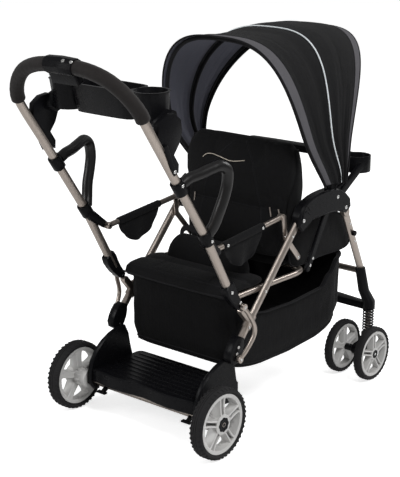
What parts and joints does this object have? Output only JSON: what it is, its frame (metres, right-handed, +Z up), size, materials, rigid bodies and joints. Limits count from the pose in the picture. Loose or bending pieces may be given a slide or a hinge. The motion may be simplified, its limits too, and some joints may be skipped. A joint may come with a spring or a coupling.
{
  "type": "sit and stand stroller",
  "caption": "Folding sit and stand stroller with a canopied front seat, rear bench, standing board, storage basket and sprung swivel casters.",
  "frame": {"origin": "centre of the bounding box on the floor", "axes": "+Z up, +X to the pusher's left, -Y the way it travels"},
  "size_m": [0.5506, 1.0528, 1.0262],
  "materials": {
    "champagne_metal": "satin champagne metallic paint",
    "black_plastic": "satin black moulded plastic",
    "black_fabric": "plain weave black cloth",
    "foam": "soft brown-black foam",
    "grey_plastic": "satin light grey plastic",
    "tyre": "charcoal moulded tyre",
    "spring_steel": "black painted spring steel",
    "clear_plastic": "glossy pale plastic"
  },
  "bodies": {
    "frame": {"platform": "black_plastic", "rear_axle": "champagne_metal", "rear_bracket_left": "black_plastic", "rear_bracket_right": "black_plastic", "rear_leg_left": "champagne_metal", "rear_leg_right": "champagne_metal", "hub_housing_left": "black_plastic", "hub_housing_right": "black_plastic", "seat_link_left": "black_plastic", "seat_link_right": "black_plastic", "seat_frame_tube": "champagne_metal", "bench_seat": "black_fabric", "seat_base": "black_fabric", "basket": "black_fabric", "rear_bow": "champagne_metal", "canopy_fabric": "black_fabric"},
    "front_frame": {"front_leg_left": "champagne_metal", "front_leg_right": "champagne_metal", "front_brace": "black_plastic", "front_cross_tube": "champagne_metal", "coil_spring_left": "spring_steel", "coil_spring_right": "spring_steel"},
    "fold_links": {"curved_link_left": "champagne_metal", "curved_link_right": "champagne_metal"},
    "pushbar": {"pushbar": "champagne_metal", "grip_foam": "foam", "handle_housing": "black_plastic", "parent_tray": "black_plastic", "child_grip_left": "foam", "child_grip_right": "foam", "pushbar_bracket_left": "black_plastic", "pushbar_bracket_right": "black_plastic"},
    "fold_button": {"fold_button": "clear_plastic"},
    "side_bars": {"side_bar_left": "champagne_metal", "side_bar_right": "champagne_metal", "side_guard_left": "black_fabric", "side_guard_right": "black_fabric"},
    "rockers": {"rocker_left": "champagne_metal", "rocker_right": "champagne_metal"},
    "canopy_middle": {"mid_bow": "champagne_metal"},
    "canopy_front": {"front_bow": "champagne_metal"},
    "seat_back": {"seat_back": "black_fabric"},
    "child_tray": {"child_tray": "black_plastic"},
    "brake_bar": {"brake_bar": "champagne_metal"},
    "suspension_left": {"strut_left": "champagne_metal"},
    "caster_left": {"caster_fork_left": "black_plastic"},
    "rear_wheel_left": {"rear_tyre_left": "tyre", "rear_rim_left": "grey_plastic"},
    "front_wheel_left_outer": {"front_tyre_left_outer": "tyre", "front_rim_left_outer": "grey_plastic"},
    "front_wheel_left_inner": {"front_tyre_left_inner": "tyre", "front_rim_left_inner": "grey_plastic"},
    "suspension_right": {"strut_right": "champagne_metal"},
    "caster_right": {"caster_fork_right": "black_plastic"},
    "rear_wheel_right": {"rear_tyre_right": "tyre", "rear_rim_right": "grey_plastic"},
    "front_wheel_right_outer": {"front_tyre_right_outer": "tyre", "front_rim_right_outer": "grey_plastic"},
    "front_wheel_right_inner": {"front_tyre_right_inner": "tyre", "front_rim_right_inner": "grey_plastic"}
  },
  "joints": [
    {"name": "frame_fold", "type": "hinge", "parent": "frame", "child": "front_frame", "pos_m": [0, -0.35919, 0.53], "axis": [1, 0, 0], "range_deg": [0, 40], "deforming": ["basket", "canopy_fabric"]},
    {"name": "link_swing", "type": "hinge", "parent": "frame", "child": "fold_links", "pos_m": [0, 0.12181, 0.223], "axis": [1, 0, 0], "range_deg": [-37.5, 0]},
    {"name": "pushbar_fold", "type": "hinge", "parent": "fold_links", "child": "pushbar", "pos_m": [0, 0.10681, 0.36], "axis": [1, 0, 0], "range_deg": [0, 78]},
    {"name": "side_bar_pivot", "type": "hinge", "parent": "pushbar", "child": "side_bars", "pos_m": [0, 0.17681, 0.518], "axis": [1, 0, 0], "range_deg": [-41, 0]},
    {"name": "rocker_pivot", "type": "hinge", "parent": "frame", "child": "rockers", "pos_m": [0, -0.1116, 0.48961], "axis": [1, 0, 0], "range_deg": [0, 35]},
    {"name": "canopy_close", "type": "hinge", "parent": "frame", "child": "canopy_front", "pos_m": [0, -0.30819, 0.566], "axis": [1, 0, 0], "range_deg": [-18, 0], "deforming": ["canopy_fabric"]},
    {"name": "canopy_middle_fold", "type": "hinge", "parent": "frame", "child": "canopy_middle", "pos_m": [0, -0.30819, 0.566], "axis": [1, 0, 0], "range_deg": [-10.8, 0]},
    {"name": "seat_recline", "type": "hinge", "parent": "frame", "child": "seat_back", "pos_m": [0, -0.15519, 0.405], "axis": [1, 0, 0], "range_deg": [-30, 0]},
    {"name": "tray_release", "type": "slide", "parent": "frame", "child": "child_tray", "axis": [0, -0.8557, 0.5174], "range_m": [0, 0.06]},
    {"name": "brake_press", "type": "hinge", "parent": "frame", "child": "brake_bar", "pos_m": [0, 0.22681, 0.08], "axis": [1, 0, 0], "range_deg": [-18, 0]},
    {"name": "fold_button_press", "type": "slide", "parent": "pushbar", "child": "fold_button", "axis": [-1, 0, 0], "range_m": [0, 0.004], "stiffness_N_per_m": 800, "springref_m": -0.001},
    {"name": "suspension_left", "type": "slide", "parent": "front_frame", "child": "suspension_left", "axis": [0, 0, 1], "range_m": [0, 0.012], "stiffness_N_per_m": 8000, "springref_m": -0.01, "deforming": ["coil_spring_left"]},
    {"name": "caster_swivel_left", "type": "hinge", "parent": "suspension_left", "child": "caster_left", "pos_m": [0.212, -0.49919, 0.118], "axis": [0, 0, 1], "continuous": true},
    {"name": "rear_wheel_spin_left", "type": "hinge", "parent": "frame", "child": "rear_wheel_left", "pos_m": [0.251, 0.24181, 0.096], "axis": [1, 0, 0], "continuous": true},
    {"name": "front_wheel_spin_left_outer", "type": "hinge", "parent": "caster_left", "child": "front_wheel_left_outer", "pos_m": [0.262, -0.44419, 0.08], "axis": [1, 0, 0], "continuous": true},
    {"name": "front_wheel_spin_left_inner", "type": "hinge", "parent": "caster_left", "child": "front_wheel_left_inner", "pos_m": [0.162, -0.44419, 0.08], "axis": [1, 0, 0], "continuous": true},
    {"name": "suspension_right", "type": "slide", "parent": "front_frame", "child": "suspension_right", "axis": [0, 0, 1], "range_m": [0, 0.012], "stiffness_N_per_m": 8000, "springref_m": -0.01, "deforming": ["coil_spring_right"]},
    {"name": "caster_swivel_right", "type": "hinge", "parent": "suspension_right", "child": "caster_right", "pos_m": [-0.212, -0.49919, 0.118], "axis": [0, 0, 1], "continuous": true},
    {"name": "rear_wheel_spin_right", "type": "hinge", "parent": "frame", "child": "rear_wheel_right", "pos_m": [-0.251, 0.24181, 0.096], "axis": [1, 0, 0], "continuous": true},
    {"name": "front_wheel_spin_right_outer", "type": "hinge", "parent": "caster_right", "child": "front_wheel_right_outer", "pos_m": [-0.262, -0.44419, 0.08], "axis": [1, 0, 0], "continuous": true},
    {"name": "front_wheel_spin_right_inner", "type": "hinge", "parent": "caster_right", "child": "front_wheel_right_inner", "pos_m": [-0.162, -0.44419, 0.08], "axis": [1, 0, 0], "continuous": true}
  ],
  "couplings": [
    {"joint": "link_swing", "follows": "frame_fold", "ratio": -0.9375},
    {"joint": "pushbar_fold", "follows": "frame_fold", "ratio": 1.95},
    {"joint": "side_bar_pivot", "follows": "frame_fold", "ratio": -1.025},
    {"joint": "rocker_pivot", "follows": "frame_fold", "ratio": 0.875},
    {"joint": "canopy_middle_fold", "follows": "canopy_close", "ratio": 0.6}
  ]
}
